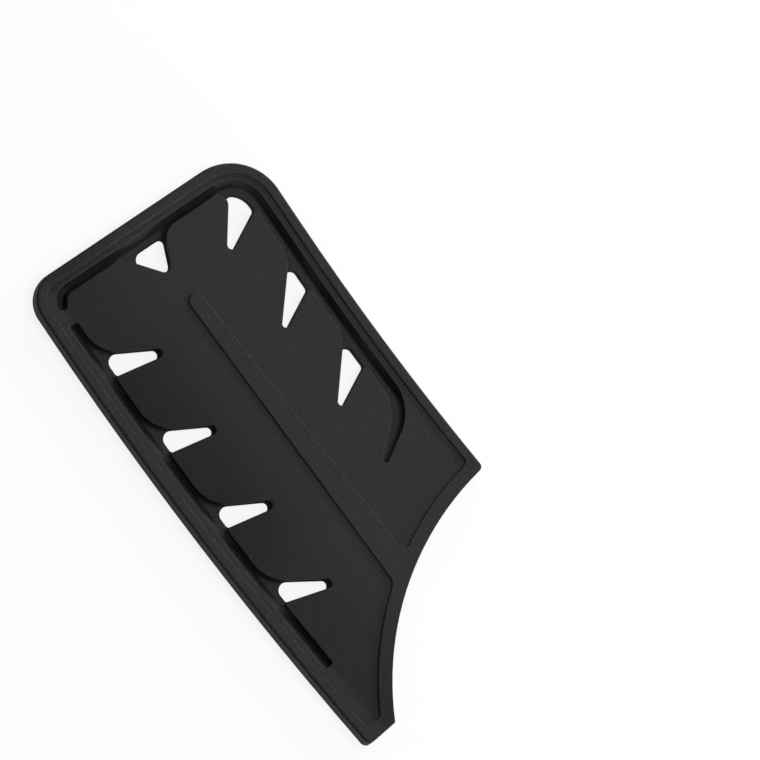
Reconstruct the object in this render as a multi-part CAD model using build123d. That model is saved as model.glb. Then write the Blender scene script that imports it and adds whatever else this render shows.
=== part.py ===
from build123d import *
import math
import os

# Blade guard for a 6 inch chopping knife: two moulded shells joined round the rim.
# X runs from the closed end to the mouth, Y toward the spine side, Z up through the front face.
# While the shells are drawn, X is 0 at the closed end and Y is 0 at its middle.

# Outline, in millimetres
guard_length = 170.3
guard_width = 82.6
edge_corner_radius = 9.5
spine_corner_radius = 17.0
edge_bend_start = 15.0
edge_side_radius = 1200.0
spine_bend_start = 28.0
spine_side_radius = 900.0
spine_side_length = 120.2
mouth_radius = 91.0
tip_end_width = 10.7
tip_outer_radius = 2.0
tip_inner_radius = 0.8
inner_corner_radius = 6.5
straight_share = 0.95
spine_mouth_radius = 1.6

# Heights
wall_thickness = 1.45
slot_height = 2.6
panel_recess = 0.9
back_recess = 0.6

# Rim
rim_width = 3.2
mouth_border = 4.5
opening_inset = 5.2
edge_ramp_run = 2.6
end_ramp_run = 2.4
spine_ramp_run = 1.2
ramp_foot_radius = 0.8
lip_width = 1.5
lip_clearance = 0.1
shadow_ledge = 0.35
shadow_gap = 0.25
flange_thickness = 0.95
outer_edge_radius = 0.4
step_chamfer = 0.3
brim_chamfer = 0.15
chamfer_angle = 45.0

# Centre rib
rib_start = 28.8
rib_width = 4.9
rib_offset = 0.95
rib_margin = 60.3
rib_mouth_width = 8.9
rib_angle = 3.55
edge_panel_corner_radius = 3.5
spine_panel_corner_radius = 1.5

# Leaf: the free tongue of the front shell, set in from the rim by the open groove
leaf_inset = 8.15
spine_leaf_inset = 9.0
lobe_corner_radius = 0.8
lobe_radius = 12.0

# Notches in the leaf along the edge side
edge_notch_count = 4
edge_notch_first = 36.6
edge_notch_pitch = 28.05
edge_notch_width = 8.5
edge_notch_depth = 23.7
edge_notch_lean = 4.1
last_notch_lean = 6.25
edge_notch_tip_radius = 1.4

# Notches in the leaf along the spine side, the first one in the corner
spine_notch_count = 3
spine_notch_first = 18.3
spine_notch_pitch = 28.45
spine_notch_width = 11.0
spine_notch_depth = 17.3
spine_notch_lean = 9.05
spine_notch_tip_radius = 1.2
corner_notch_tip_radius = 1.45
corner_lobe_setback = 12.15
corner_lobe_radius = 3.0

# Notch in the leaf at the closed end
end_notch_offset = -3.05
end_notch_width = 16.1
end_notch_depth = 13.0
end_notch_lean = 2.7
end_notch_tip_radius = 2.2
end_lobe_radius = 5.5

# Ends of the grooves, and the bridge that carries the leaf at the closed end
edge_groove_start = 16.6
edge_groove_margin = 26.2
groove_end_radius = 1.0
end_groove_bend = 10.4
end_groove_bend_radius = 2.5
end_groove_reach = 12.0
end_groove_margin = 7.5
end_groove_cap_radius = 1.0
end_groove_cap_angle = 53.0

# Hook at the mouth end of the spine groove
hook_bend_x = 90.4
hook_outer_bend_x = 93.2
hook_end_x = 102.0
hook_end_y = 21.2
hook_end_width = 1.7
hook_bend_radius = 15.0
hook_end_radius = 0.5

# Windows through the back wall, under the notches
edge_window_inset = 9.85
end_window_inset = 9.9
spine_window_inset = 9.25
edge_window_tip_radius = 1.53
edge_window_radius = 2.6
spine_window_radius = 1.95
window_wide_radius = 1.4
window_chamfer = 0.6
window_reach_share = 1.15

# Cuts and faces that must pass an edge run on by this much
overrun = 8.0

half_width = guard_width / 2
floor_height = back_recess + wall_thickness
leaf_bottom = floor_height + slot_height
leaf_top = leaf_bottom + wall_thickness
brim_bottom = leaf_top - brim_chamfer
guard_thickness = leaf_top + panel_recess
flange_bottom = guard_thickness - flange_thickness
lip_top = flange_bottom - shadow_gap
run_out = guard_length + overrun
edge_groove_end = guard_length - edge_groove_margin
rib_length = guard_length - rib_margin


def edge_side(x, inset=0):
    """Point at x on the edge side moved in by inset: straight, then an arc about a far centre."""
    centre_y = edge_side_radius - half_width
    reach = max(x - edge_bend_start, 0)
    return Vector(x, centre_y - math.sqrt((edge_side_radius - inset) ** 2 - reach**2))


def spine_side(x, inset=0):
    """Point at x on the spine side moved in by inset."""
    centre_y = spine_side_radius + half_width
    reach = max(x - spine_bend_start, 0)
    return Vector(x, centre_y - math.sqrt((spine_side_radius + inset) ** 2 - reach**2))


def rim_corner(outer_radius, inset, bend_start):
    """Radius of a closed-end corner moved in by inset: kept soft, within the straight part of the side."""
    radius = max(outer_radius - inset, inner_corner_radius)
    return min(radius, (bend_start - inset) * straight_share)


def strip(edge, end, spine):
    """Face that runs on past the mouth, moved in by edge, end and spine from the guard's three sides."""
    closed_end = FilletPolyline(
        edge_side(edge_bend_start, edge),
        edge_side(end, edge),
        spine_side(end, spine),
        spine_side(spine_bend_start, spine),
        radius=(
            rim_corner(edge_corner_radius, end, edge_bend_start),
            rim_corner(spine_corner_radius, end, spine_bend_start),
        ),
    )
    edge_arc = ThreePointArc(
        edge_side(edge_bend_start, edge),
        edge_side((edge_bend_start + run_out) / 2, edge),
        edge_side(run_out, edge),
    )
    spine_arc = ThreePointArc(
        spine_side(spine_bend_start, spine),
        spine_side((spine_bend_start + run_out) / 2, spine),
        spine_side(run_out, spine),
    )
    far_end = Line(edge_side(run_out, edge), spine_side(run_out, spine))
    return make_face([closed_end, edge_arc, far_end, spine_arc])


def even_strip(inset):
    """Face that runs on past the mouth, moved in by inset all round."""
    return strip(inset, inset, inset)


tip_corner = edge_side(guard_length)
tip_angle = math.asin((guard_length - edge_bend_start) / edge_side_radius)
tip_inner = tip_corner + Vector(-math.sin(tip_angle), math.cos(tip_angle)) * tip_end_width
spine_corner = spine_side(spine_side_length)


def beyond_mouth(border):
    """Face past the mouth, its edge moved in by border: a round bite and the square end of the tip."""
    chord = spine_corner - tip_inner
    outward = Vector(chord.Y, -chord.X).normalized()
    rise = math.sqrt(mouth_radius**2 - (chord.length / 2) ** 2)
    centre = (tip_inner + spine_corner) / 2 + outward * rise
    bite = Pos(centre.X, centre.Y) * Circle(mouth_radius + border)
    past_tip = Pos(tip_corner.X, tip_corner.Y) * Rot(0, 0, math.degrees(tip_angle))
    past_tip *= Pos(guard_width / 2 - border, 0)
    return bite + past_tip * Rectangle(guard_width, guard_width)


def round_corner(face, point, radius):
    """Face with the corner nearest to the point rounded."""
    corner = min(face.vertices(), key=lambda vertex: (Vector(vertex) - point).length)
    return fillet(corner, radius)


def guard_face(inset, border):
    """Face of the whole guard with its sides moved in by inset and its mouth by border."""
    face = even_strip(inset) - beyond_mouth(border)
    face = round_corner(face, tip_corner, tip_outer_radius)
    face = round_corner(face, tip_inner, tip_inner_radius)
    return round_corner(face, spine_corner, spine_mouth_radius)


def rib_face():
    """Centre rib: a rounded end, widening to its width at the mouth and on until it is past the mouth."""
    half_start = rib_width / 2
    half_mouth = rib_mouth_width / 2
    half_end = half_start + (half_mouth - half_start) * run_out / rib_length
    bar = make_face(
        Polyline(
            (0, -half_start),
            (run_out, -half_end),
            (run_out, half_end),
            (0, half_start),
            close=True,
        )
    )
    return Pos(rib_start + half_start, rib_offset) * Rot(0, 0, rib_angle) * (bar + Circle(half_start))


def panel_face():
    """Sunk panel inside the rim and the mouth border, parted by the rib, its corners there rounded."""
    outline = guard_face(rim_width, mouth_border)
    rib = outline & rib_face()
    by_edge_side, by_spine_side = rib.vertices().sort_by(Axis.X)[-2:].sort_by(Axis.Y)
    face = round_corner(outline - rib, Vector(by_edge_side), edge_panel_corner_radius)
    return round_corner(face, Vector(by_spine_side), spine_panel_corner_radius)


def edge_notch(number):
    """Corners of a notch on the edge side: the lobe before it, its sharp tip and the lobe after it."""
    x = edge_notch_first + number * edge_notch_pitch
    lean = last_notch_lean if number == edge_notch_count - 1 else edge_notch_lean
    after = edge_side(x, leaf_inset)
    return edge_side(x - edge_notch_width, leaf_inset), after + Vector(lean, edge_notch_depth), after


def spine_notch(number):
    """Corners of a notch on the spine side; the first cuts the corner, from a lobe on the closed end."""
    x = spine_notch_first + number * spine_notch_pitch
    before = spine_side(x - spine_notch_width, spine_leaf_inset)
    after = spine_side(x, spine_leaf_inset)
    if number == 0:
        before = Vector(leaf_inset, half_width - corner_lobe_setback)
    return before, after + Vector(spine_notch_lean, -spine_notch_depth), after


edge_notches = [edge_notch(number) for number in range(edge_notch_count)]
spine_notches = [spine_notch(number) for number in range(spine_notch_count)]
spine_tip_radii = [corner_notch_tip_radius] + [spine_notch_tip_radius] * (spine_notch_count - 1)
end_notch = (
    Vector(leaf_inset, end_notch_offset - end_notch_width / 2),
    Vector(leaf_inset + end_notch_depth, end_notch_offset + end_notch_lean),
    Vector(leaf_inset, end_notch_offset + end_notch_width / 2),
)


end_groove_corner = Vector(end_groove_reach, end_groove_margin - half_width)
end_groove_cap = Vector(
    math.cos(math.radians(end_groove_cap_angle)), math.sin(math.radians(end_groove_cap_angle))
)
end_groove_outer = end_groove_corner - end_groove_cap * (leaf_inset - opening_inset)


def leaf_face():
    """Leaf with its lobes and notches, run on past the rim where the bridge and the mouth carry it."""
    outside = leaf_inset - opening_inset + overrun
    hook_bend = spine_side(hook_bend_x, spine_leaf_inset)
    hook_outer_bend = spine_side(hook_outer_bend_x, opening_inset)
    hook_inner = Vector(hook_end_x, hook_end_y)
    hook_turn = hook_inner - hook_bend
    hook_across = Vector(-hook_turn.Y, hook_turn.X).normalized()
    hook_outer = hook_inner + hook_across * hook_end_width
    hook_past = (hook_outer_bend - hook_outer).normalized()

    corners = [
        (Vector(run_out, -half_width - overrun), 0),
        (edge_side(edge_groove_end, -overrun), 0),
        (edge_side(edge_groove_end, leaf_inset), groove_end_radius),
    ]
    for before, tip, after in reversed(edge_notches):
        corners.append((after, lobe_corner_radius))
        corners.append((tip, edge_notch_tip_radius))
        corners.append((before, lobe_radius))
    corners += [
        (edge_side(edge_groove_start, leaf_inset), groove_end_radius),
        (edge_side(edge_groove_start, -overrun), 0),
        (end_groove_corner - end_groove_cap * outside, 0),
        (end_groove_corner, end_groove_cap_radius),
        (Vector(leaf_inset, end_groove_bend - half_width), end_groove_bend_radius),
        (end_notch[0], end_lobe_radius),
        (end_notch[1], end_notch_tip_radius),
        (end_notch[2], end_lobe_radius),
    ]
    for number, (before, tip, after) in enumerate(spine_notches):
        corners.append((before, lobe_radius if number else corner_lobe_radius))
        corners.append((tip, spine_tip_radii[number]))
        corners.append((after, lobe_corner_radius))
    corners += [
        (hook_bend, hook_bend_radius),
        (hook_inner, hook_end_radius),
        (hook_outer, hook_end_radius),
        (hook_outer_bend + hook_past * outside, 0),
        (Vector(run_out, half_width + overrun), 0),
    ]
    points = [point for point, radius in corners]
    radii = [radius for point, radius in corners]
    return make_face(FilletPolyline(points, radius=radii, close=True))


def opening_face():
    """Openings of the front shell: the groove between rim and leaf, with the notches."""
    face = even_strip(opening_inset) - leaf_face()
    face = round_corner(face, edge_side(edge_groove_end, opening_inset), groove_end_radius)
    face = round_corner(face, end_groove_outer, end_groove_cap_radius)
    return round_corner(face, spine_side(hook_outer_bend_x, opening_inset), hook_bend_radius)


def window_face(notch, tip_radius, narrow_radius):
    """Window under a notch: its wedge, cut off along a line set in from the rim."""
    before, tip, after = notch
    wedge = make_face(
        Polyline(
            tip,
            tip + (before - tip) * window_reach_share,
            tip + (after - tip) * window_reach_share,
            close=True,
        )
    )
    face = wedge & strip(edge_window_inset, end_window_inset, spine_window_inset)
    face = round_corner(face, tip, tip_radius)
    face = round_corner(face, before, narrow_radius)
    return round_corner(face, after, window_wide_radius)


def pocket():
    """Blade slot and the groove above it: its walls slope in from the rim's panel to the slot's floor."""
    foot = strip(
        opening_inset + edge_ramp_run,
        opening_inset + end_ramp_run,
        opening_inset + spine_ramp_run,
    )
    brim = even_strip(opening_inset)
    sloped = loft([Pos(0, 0, floor_height) * foot, Pos(0, 0, brim_bottom) * brim], ruled=True)
    foot_edges = sloped.faces().sort_by(Axis.Z)[0].edges().filter_by(
        lambda edge: edge.center().X < guard_length
    )
    sloped = fillet(foot_edges, ramp_foot_radius)
    return sloped + Pos(0, 0, brim_bottom) * extrude(brim, overrun)


def front_shell():
    """Cover: rim flange, sunk panel, rib and the leaf."""
    flange = extrude(guard_face(shadow_ledge, 0), guard_thickness - flange_bottom)
    body = Pos(0, 0, flange_bottom) * flange
    plug = extrude(guard_face(lip_width + lip_clearance, 0), guard_thickness - leaf_bottom)
    body += Pos(0, 0, leaf_bottom) * plug
    top_edges = body.faces().sort_by(Axis.Z)[-1].outer_wire().edges()
    body = fillet(top_edges, outer_edge_radius)
    body -= Pos(0, 0, leaf_top) * extrude(panel_face(), panel_recess + overrun)
    step_edges = body.faces().sort_by(Axis.Z)[-1].inner_wires().edges()
    body = chamfer(step_edges, step_chamfer)
    body -= pocket() & extrude(opening_face(), brim_bottom + overrun)
    chamfer_cut = extrude(Pos(0, 0, brim_bottom) * opening_face(), brim_chamfer, taper=-chamfer_angle)
    return body - chamfer_cut


def back_shell():
    """Tray: back wall with its windows, and the side walls with a lip round the cover's edge."""
    body = extrude(guard_face(0, 0), lip_top)
    bottom_edges = body.faces().sort_by(Axis.Z)[0].outer_wire().edges()
    body = fillet(bottom_edges, outer_edge_radius)
    body -= Pos(0, 0, leaf_bottom) * extrude(even_strip(lip_width), overrun)
    body -= pocket()
    body -= extrude(panel_face(), back_recess)
    for notch in edge_notches:
        body -= extrude(window_face(notch, edge_window_tip_radius, edge_window_radius), leaf_bottom)
    for notch, tip_radius in zip(spine_notches, spine_tip_radii):
        body -= extrude(window_face(notch, tip_radius, spine_window_radius), leaf_bottom)
    body -= extrude(window_face(end_notch, end_notch_tip_radius, edge_window_radius), leaf_bottom)
    slot_floor = body.faces().filter_by(Plane.XY).filter_by_position(Axis.Z, floor_height, floor_height)[0]
    return chamfer(slot_floor.inner_wires().edges(), window_chamfer)


back = back_shell()
front = front_shell()
middle = back.bounding_box().center()
to_origin = Pos(-middle.X, -middle.Y, 0)

os.makedirs("parts", exist_ok=True)
export_step(to_origin * back, "parts/back_shell.step")
export_step(to_origin * front, "parts/front_shell.step")
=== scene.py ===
# %% [markdown]
# A blade guard in plain studio light
#
# The guard is a flat sheath that slips over the blade of a chopping knife. It is two mouldings of
# matte black plastic, a tray and a cover, joined round the rim. Nothing on it moves. Both mouldings
# come from the CAD model with their true shape, so this scene keeps them as they are and gives them
# what CAD doesn't hold: the finish of the plastic, the light, the floor and the camera.

# %% Load the model and note its size
import math

import bpy
import numpy as np
from mathutils import Matrix, Vector


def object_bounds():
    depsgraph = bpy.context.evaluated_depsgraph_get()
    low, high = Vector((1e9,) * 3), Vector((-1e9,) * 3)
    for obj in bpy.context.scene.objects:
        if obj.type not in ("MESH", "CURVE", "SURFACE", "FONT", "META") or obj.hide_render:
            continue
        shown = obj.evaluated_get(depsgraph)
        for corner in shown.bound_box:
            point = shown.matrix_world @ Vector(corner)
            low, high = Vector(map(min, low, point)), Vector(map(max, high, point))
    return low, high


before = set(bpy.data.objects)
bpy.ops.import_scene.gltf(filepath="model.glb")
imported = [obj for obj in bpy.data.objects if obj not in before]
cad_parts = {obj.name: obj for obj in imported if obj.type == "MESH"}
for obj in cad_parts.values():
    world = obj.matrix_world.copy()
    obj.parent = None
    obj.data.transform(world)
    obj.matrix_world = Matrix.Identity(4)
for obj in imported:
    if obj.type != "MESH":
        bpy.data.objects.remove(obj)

cad_low, cad_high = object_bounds()
MM = 0.001
print("size in mm", [round(length / MM, 2) for length in cad_high - cad_low])

# %% [markdown]
# The camera
#
# In the photograph the guard's long sides stay parallel, as they do when a product is taken from
# far away with a long lens, so the camera is orthographic. It looks almost straight down on the
# front face, leaning a little toward the cutting-edge side, and it is rolled so that the closed end
# points up and to the left. The roll, the lean and the scale are read from the photograph, and the
# guard's middle is put on the pixel where the photograph has it.

# %% Place the camera
PHOTO_SIDE = 760
GUARD_MIDDLE_PIXEL = (298.4, 449.4)
PIXELS_PER_MM = 3.347
VIEW_LEAN = math.radians(14.5)
VIEW_ROLL = math.radians(33.85)
CAMERA_DISTANCE = 900 * MM


def view_axes():
    """Right, up and backward directions of the camera.

    across = (0, cos lean, sin lean) and along = (1, 0, 0) span the picture;
    right = cos roll * across + sin roll * along, up = sin roll * across - cos roll * along.
    """
    across = Vector((0, math.cos(VIEW_LEAN), math.sin(VIEW_LEAN)))
    along = Vector((1, 0, 0))
    right = math.cos(VIEW_ROLL) * across + math.sin(VIEW_ROLL) * along
    up = math.sin(VIEW_ROLL) * across - math.cos(VIEW_ROLL) * along
    return right, up, right.cross(up)


def place_camera():
    """Orthographic camera whose picture has the guard's middle at GUARD_MIDDLE_PIXEL."""
    right, up, back = view_axes()
    metres_per_pixel = MM / PIXELS_PER_MM
    aside = (PHOTO_SIDE / 2 - GUARD_MIDDLE_PIXEL[0]) * metres_per_pixel
    above = (GUARD_MIDDLE_PIXEL[1] - PHOTO_SIDE / 2) * metres_per_pixel
    middle = (cad_low + cad_high) / 2
    place = middle + right * aside + up * above + back * CAMERA_DISTANCE
    lens = bpy.data.cameras.new("camera")
    lens.type = "ORTHO"
    lens.ortho_scale = PHOTO_SIDE * metres_per_pixel
    camera = bpy.data.objects.new("camera", lens)
    camera.matrix_world = Matrix.Translation(place) @ Matrix((right, up, back)).transposed().to_4x4()
    bpy.context.scene.collection.objects.link(camera)
    bpy.context.scene.camera = camera
    return camera


camera = place_camera()
print("camera at", [round(value, 3) for value in camera.matrix_world.translation])
print("picture is", round(camera.data.ortho_scale / MM, 1), "mm wide")

# %% [markdown]
# Writing a finish as an expression
#
# A finish is a sum of patterns: a fine grain, a slow mottle, a polish along the edges. Drawn as
# boxes and wires such a sum is hard to read, so two small classes let Python write it. Wire stands
# for one output socket, and plus, minus, times and divide between wires or numbers add the Math
# nodes. Finish.node adds any other node: its settings are set first, because some of them change
# its sockets, and then its sockets get a number or a wire each.

# %% The shader classes
class Wire:
    """One output socket of a finish, with arithmetic that adds Math nodes."""

    def __init__(self, finish, socket):
        self.finish = finish
        self.socket = socket

    def math(self, operation, *values):
        """The result of one Math node on the values."""
        return self.finish.node("ShaderNodeMath", {"operation": operation}, dict(enumerate(values)))

    def other(self, name):
        """Another output of the same node."""
        return Wire(self.finish, self.socket.node.outputs[name])

    def __add__(self, value):
        return self.math("ADD", self, value)

    def __sub__(self, value):
        return self.math("SUBTRACT", self, value)

    def __rsub__(self, value):
        return self.math("SUBTRACT", value, self)

    def __mul__(self, value):
        return self.math("MULTIPLY", self, value)

    def __truediv__(self, value):
        return self.math("DIVIDE", self, value)

    __radd__ = __add__
    __rmul__ = __mul__

    def at_least(self, value):
        return self.math("MAXIMUM", self, value)

    def at_most(self, value):
        return self.math("MINIMUM", self, value)

    def between(self, low, high):
        """0 below low, 1 above high, and a smooth rise between them."""
        sockets = {"Value": self, "From Min": low, "From Max": high}
        return self.finish.node("ShaderNodeMapRange", {"interpolation_type": "SMOOTHSTEP"}, sockets)


class Finish:
    """A node tree that is filled from Python expressions."""

    def __init__(self, owner):
        owner.use_nodes = True
        self.tree = owner.node_tree
        self.tree.nodes.clear()

    def node(self, kind, settings=None, sockets=None, output=0):
        """Adds a node with its settings and sockets and gives one of its outputs."""
        made = self.tree.nodes.new(kind)
        for name, value in (settings or {}).items():
            setattr(made, name, value)
        for name, value in (sockets or {}).items():
            if isinstance(value, Wire):
                self.tree.links.new(value.socket, made.inputs[name])
            else:
                made.inputs[name].default_value = value
        return Wire(self, made.outputs[output]) if made.outputs else made


# %% [markdown]
# The plastic
#
# The guard is moulded in polypropylene, coloured through with carbon black. The steel mould was
# spark eroded, which leaves a fine, even field of shallow pits and bumps, a few tenths of a
# millimetre across. It spreads every reflection, so the faces look matte and slightly speckled.
# Four things keep a black part from looking flat. The grain bends the light. The shade wanders
# slowly over the face where the plastic flowed and cooled. Handling rubs the edges smoother, and
# the edges are painted lighter, partly as that wear and partly as a painted highlight where a round
# edge would catch the lamps: the Bevel node finds them, because it gives the normal that a small
# round would have, and where that differs from the face's own normal, an edge is near. And the leaf
# between the rib and the edge side carries painted shade, darker than the rest and most near the
# groove, as if the free tongue bowed away from the light. The CAD leaf is flat, so here painted
# shade stands in for that.

# %% Make the moulded plastic
GRAIN_SIZE = 0.38 * MM
PIT_SIZE = 0.60 * MM
MOTTLE_SIZE = 17 * MM
GRAIN_DEPTH = 0.14 * MM
PIT_SHARE = 0.8
COVER = {"shade": 0.023, "grain_share": 1.0, "painted_shade_share": 1.0}
# The tray's shade, lighter than the cover's, is painted light: it lightens the ramps and floors in the
# tray's grooves.
TRAY = {"shade": 0.030, "grain_share": 0.8, "painted_shade_share": 0.0}
BLUE_TINT = 1.02
MOTTLE_TONE = 0.45
SPECKLE_TONE = 3.2
# Edges painted lighter: partly wear, partly a painted highlight.
WEAR_AND_HIGHLIGHT_TONE = 2.2
MATTE_ROUGHNESS = 0.56
GRAIN_ROUGHNESS = 0.2
MOTTLE_ROUGHNESS = 0.1
RUB_POLISH = 0.3
PLASTIC_IOR = 1.49
SPECULAR_LEVEL = 0.40
EDGE_SIDE = -43.6 * MM
EDGE_SIDE_CURVE_START = -70.0 * MM
EDGE_SIDE_RADIUS = 1200.0 * MM
EDGE_ROUND = 0.30 * MM

# Each pair is where a smooth rise starts and where it is full.
EDGE_BEND = (0.005, 0.08)
WEAR_AND_HIGHLIGHT_PATCHES = (0.35, 0.65)
# Where painted shade darkens the leaf:
PAINTED_SHADE_RISE = (5.5 * MM, 8.2 * MM)
PAINTED_SHADE_FALL = (10 * MM, 44 * MM)
PAINTED_SHADE_START = (-60 * MM, -43 * MM)
PAINTED_SHADE_END = (10 * MM, 33 * MM)


def leaf_painted_shade(finish, place):
    """Painted shade on the leaf: 0 by the rib and outside the groove, most by the edge side.

    reach = way along x past the point where the guard's edge side starts to curve;
    inward = y - edge side - reach ** 2 / (2 * radius), the way in from that side;
    painted shade = rise over the groove * fall across the leaf * (0.6 + 0.4 * middle of its length).
    """
    parts = finish.node("ShaderNodeSeparateXYZ", sockets={"Vector": place})
    x, y = parts, parts.other("Y")
    reach = (x - EDGE_SIDE_CURVE_START).at_least(0.0)
    inward = y - EDGE_SIDE - reach * reach / (2 * EDGE_SIDE_RADIUS)
    across = inward.between(*PAINTED_SHADE_RISE) * (1 - inward.between(*PAINTED_SHADE_FALL))
    along = x.between(*PAINTED_SHADE_START) * (1 - x.between(*PAINTED_SHADE_END))
    return across * (0.6 + 0.4 * along)


def moulded_plastic(name, shade, grain_share, painted_shade_share):
    """Black plastic from a spark-eroded mould.

    wear and painted highlight = edge * (half everywhere + half in patches of the mottle);
    colour = shade * (1 + mottle + speckle + wear and painted highlight) * (1 - share * painted leaf
    shade);
    roughness = matte + a little of the grain and the mottle - polish where the edges are worn;
    height = grain_share * (grain + pits).
    """
    material = bpy.data.materials.new(name)
    finish = Finish(material)
    place = finish.node("ShaderNodeTexCoord", output="Object")
    grain = finish.node(
        "ShaderNodeTexNoise",
        sockets={"Vector": place, "Scale": 1 / GRAIN_SIZE, "Detail": 2.0, "Roughness": 0.6},
    )
    pits = finish.node(
        "ShaderNodeTexVoronoi",
        {"feature": "SMOOTH_F1"},
        {"Vector": place, "Scale": 1 / PIT_SIZE, "Smoothness": 0.6},
    )
    mottle = finish.node(
        "ShaderNodeTexNoise",
        sockets={"Vector": place, "Scale": 1 / MOTTLE_SIZE, "Detail": 3.0, "Distortion": 0.4},
    )
    rounded = finish.node("ShaderNodeBevel", {"samples": 4}, {"Radius": EDGE_ROUND})
    own = finish.node("ShaderNodeNewGeometry", output="Normal")
    straight = finish.node(
        "ShaderNodeVectorMath", {"operation": "DOT_PRODUCT"}, {0: rounded, 1: own}, "Value"
    )
    edge = (1 - straight).between(*EDGE_BEND)
    wear_and_highlight = edge * (0.5 + 0.5 * mottle.between(*WEAR_AND_HIGHLIGHT_PATCHES))

    # Lighter edges: partly wear, partly a painted highlight.
    tone = 1 + MOTTLE_TONE * (mottle - 0.5) + SPECKLE_TONE * (grain - 0.5) + WEAR_AND_HIGHLIGHT_TONE * wear_and_highlight
    # Painted shade on the leaf, darkest near the edge-side groove.
    tone = tone * (1 - painted_shade_share * leaf_painted_shade(finish, place))
    colour = finish.node(
        "ShaderNodeVectorMath",
        {"operation": "SCALE"},
        {0: (shade, shade, shade * BLUE_TINT), "Scale": tone},
    )
    rough = MATTE_ROUGHNESS + GRAIN_ROUGHNESS * (grain - 0.5) + MOTTLE_ROUGHNESS * (mottle - 0.5)
    rough = rough - RUB_POLISH * wear_and_highlight
    height = grain_share * (grain + PIT_SHARE * pits)
    normal = finish.node(
        "ShaderNodeBump",
        sockets={"Strength": 1.0, "Distance": GRAIN_DEPTH, "Height": height, "Normal": rounded},
    )
    plastic = finish.node(
        "ShaderNodeBsdfPrincipled",
        sockets={
            "Base Color": colour,
            "Roughness": rough,
            "Normal": normal,
            "IOR": PLASTIC_IOR,
            "Specular IOR Level": SPECULAR_LEVEL,
        },
    )
    finish.node("ShaderNodeOutputMaterial", sockets={"Surface": plastic})
    return material


finishes = {
    "front_shell": moulded_plastic("moulded_black_cover", **COVER),
    "back_shell": moulded_plastic("moulded_black_tray", **TRAY),
}
for node, material in finishes.items():
    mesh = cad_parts[node].data
    mesh.materials.clear()
    mesh.materials.append(material)
    print(node, "has", len(mesh.polygons), "faces in", material.name)

# %% [markdown]
# The floor
#
# The guard lies on its back on a plain, pale sheet. The photograph's background is pure white, and
# the guard's own colour must not be washed out by lamps strong enough to make a floor white. So the
# floor is partly a glow, which the camera sees in full and reflections see faintly, and partly an
# ordinary matte surface, which keeps the soft shadow round the guard and in its windows.

# %% Make the floor
FLOOR_REACH = 3.0
FLOOR_CELLS = 8
FLOOR_DROP = 0.02 * MM
FLOOR_GREY = 0.50
GLOW_SHARE = 0.50
GLOW_LEVEL = 1.70
GLOW_IN_REFLECTIONS = 0.3
WHITE = (1, 1, 1, 1)


def floor_mesh():
    """Level sheet: x and y run evenly from -reach to reach, z = -drop."""
    steps = np.linspace(-FLOOR_REACH, FLOOR_REACH, FLOOR_CELLS + 1)
    x, y = np.meshgrid(steps, steps, indexing="ij")
    points = np.stack([x, y, np.full_like(x, -FLOOR_DROP)], axis=-1).reshape(-1, 3)
    corner = np.arange(points.shape[0]).reshape(x.shape)
    around = (corner[:-1, :-1], corner[1:, :-1], corner[1:, 1:], corner[:-1, 1:])
    faces = np.stack(around, axis=-1).reshape(-1, 4)
    mesh = bpy.data.meshes.new("floor")
    mesh.from_pydata(points.tolist(), [], faces.tolist())
    return mesh


def pale_floor():
    """Matte grey, with a glow for the rays from the camera and a weak one for reflections."""
    material = bpy.data.materials.new("pale_floor")
    finish = Finish(material)
    ray = finish.node("ShaderNodeLightPath", output="Is Camera Ray")
    seen = ray + ray.other("Is Transmission Ray") + GLOW_IN_REFLECTIONS * ray.other("Is Glossy Ray")
    grey = (FLOOR_GREY, FLOOR_GREY, FLOOR_GREY, 1)
    matte = finish.node("ShaderNodeBsdfDiffuse", sockets={"Color": grey})
    glow = finish.node("ShaderNodeEmission", sockets={"Color": WHITE, "Strength": GLOW_LEVEL})
    share = seen.at_most(1.0) * GLOW_SHARE
    mixed = finish.node("ShaderNodeMixShader", sockets={0: share, 1: matte, 2: glow})
    finish.node("ShaderNodeOutputMaterial", sockets={"Surface": mixed})
    return material


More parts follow.
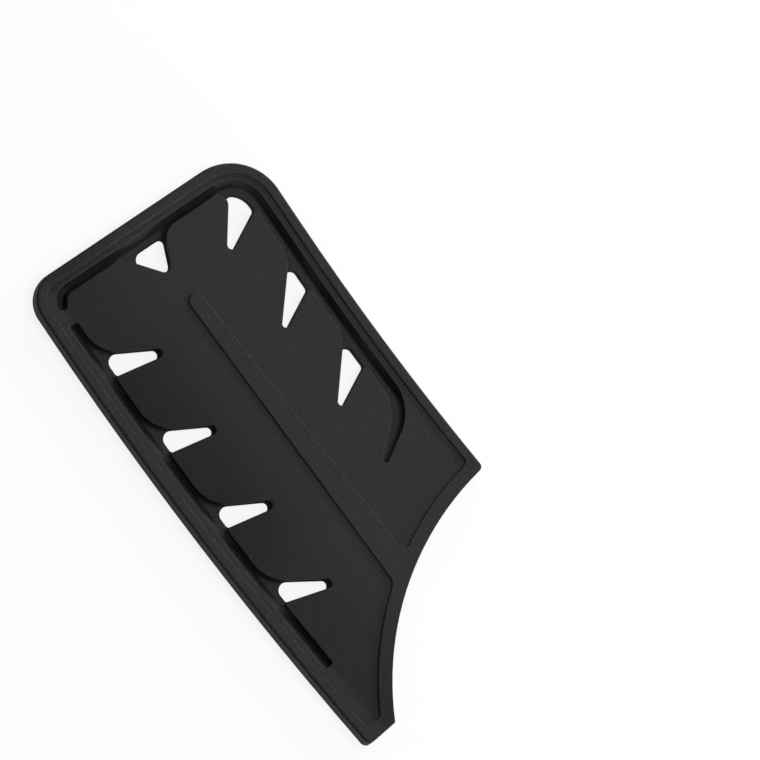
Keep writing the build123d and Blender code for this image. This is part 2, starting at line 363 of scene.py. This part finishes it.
floor = bpy.data.objects.new("floor", floor_mesh())
floor.data.materials.append(pale_floor())
bpy.context.scene.collection.objects.link(floor)
print("floor is", 2 * FLOOR_REACH, "m wide, with", len(floor.data.polygons), "faces")

# %% [markdown]
# The light
#
# The photograph's light is soft and comes from above, leaning to the spine side: the ramps that
# face the spine are as light as the top, and the walls that face the edge side are dark. A wide
# lamp overhead and a key beside it do that. Its thin light lines run along the edges that face the
# spine, the mouth and the upper end of the picture, so three small lamps stand low on those sides
# and only the rubbed edges mirror them. The world adds an even, dim fill, and is white only where
# the camera looks at it.

# %% Set up the lamps
LAMPS = {
    "key": {"place": (0.12, 0.22, 0.96), "size": 0.30, "watts": 1.7},
    "spine side": {"place": (0.00, 0.95, 0.32), "size": 0.20, "watts": 2.2},
    "mouth side": {"place": (0.97, 0.12, 0.17), "size": 0.20, "watts": 3.4},
    "closed end": {"place": (-0.64, 0.68, 0.36), "size": 0.20, "watts": 1.8},
    "overhead": {"place": (0.00, 0.10, 1.10), "size": 1.00, "watts": 1.2},
}
WORLD_LEVEL = 0.14


def hang_lamp(name, place, size, watts):
    """Square lamp at place, turned toward the guard."""
    light = bpy.data.lights.new(name, "AREA")
    light.size = size
    light.energy = watts
    lamp = bpy.data.objects.new(name, light)
    lamp.location = place
    lamp.rotation_euler = (-Vector(place)).to_track_quat("-Z", "Y").to_euler()
    bpy.context.scene.collection.objects.link(lamp)


def studio_world():
    """Even fill of WORLD_LEVEL, and white for the rays that see the background."""
    world = bpy.data.worlds.new("studio")
    finish = Finish(world)
    ray = finish.node("ShaderNodeLightPath", output="Is Camera Ray")
    seen = ray + ray.other("Is Transmission Ray")
    level = seen.at_most(1.0).at_least(WORLD_LEVEL)
    sky = finish.node("ShaderNodeBackground", sockets={"Color": WHITE, "Strength": level})
    finish.node("ShaderNodeOutputWorld", sockets={"Surface": sky})
    bpy.context.scene.world = world


for name, lamp in LAMPS.items():
    hang_lamp(name, **lamp)
studio_world()
bpy.context.scene.view_settings.view_transform = "Standard"
print("lamps", {name: lamp["watts"] for name, lamp in LAMPS.items()}, "watts")
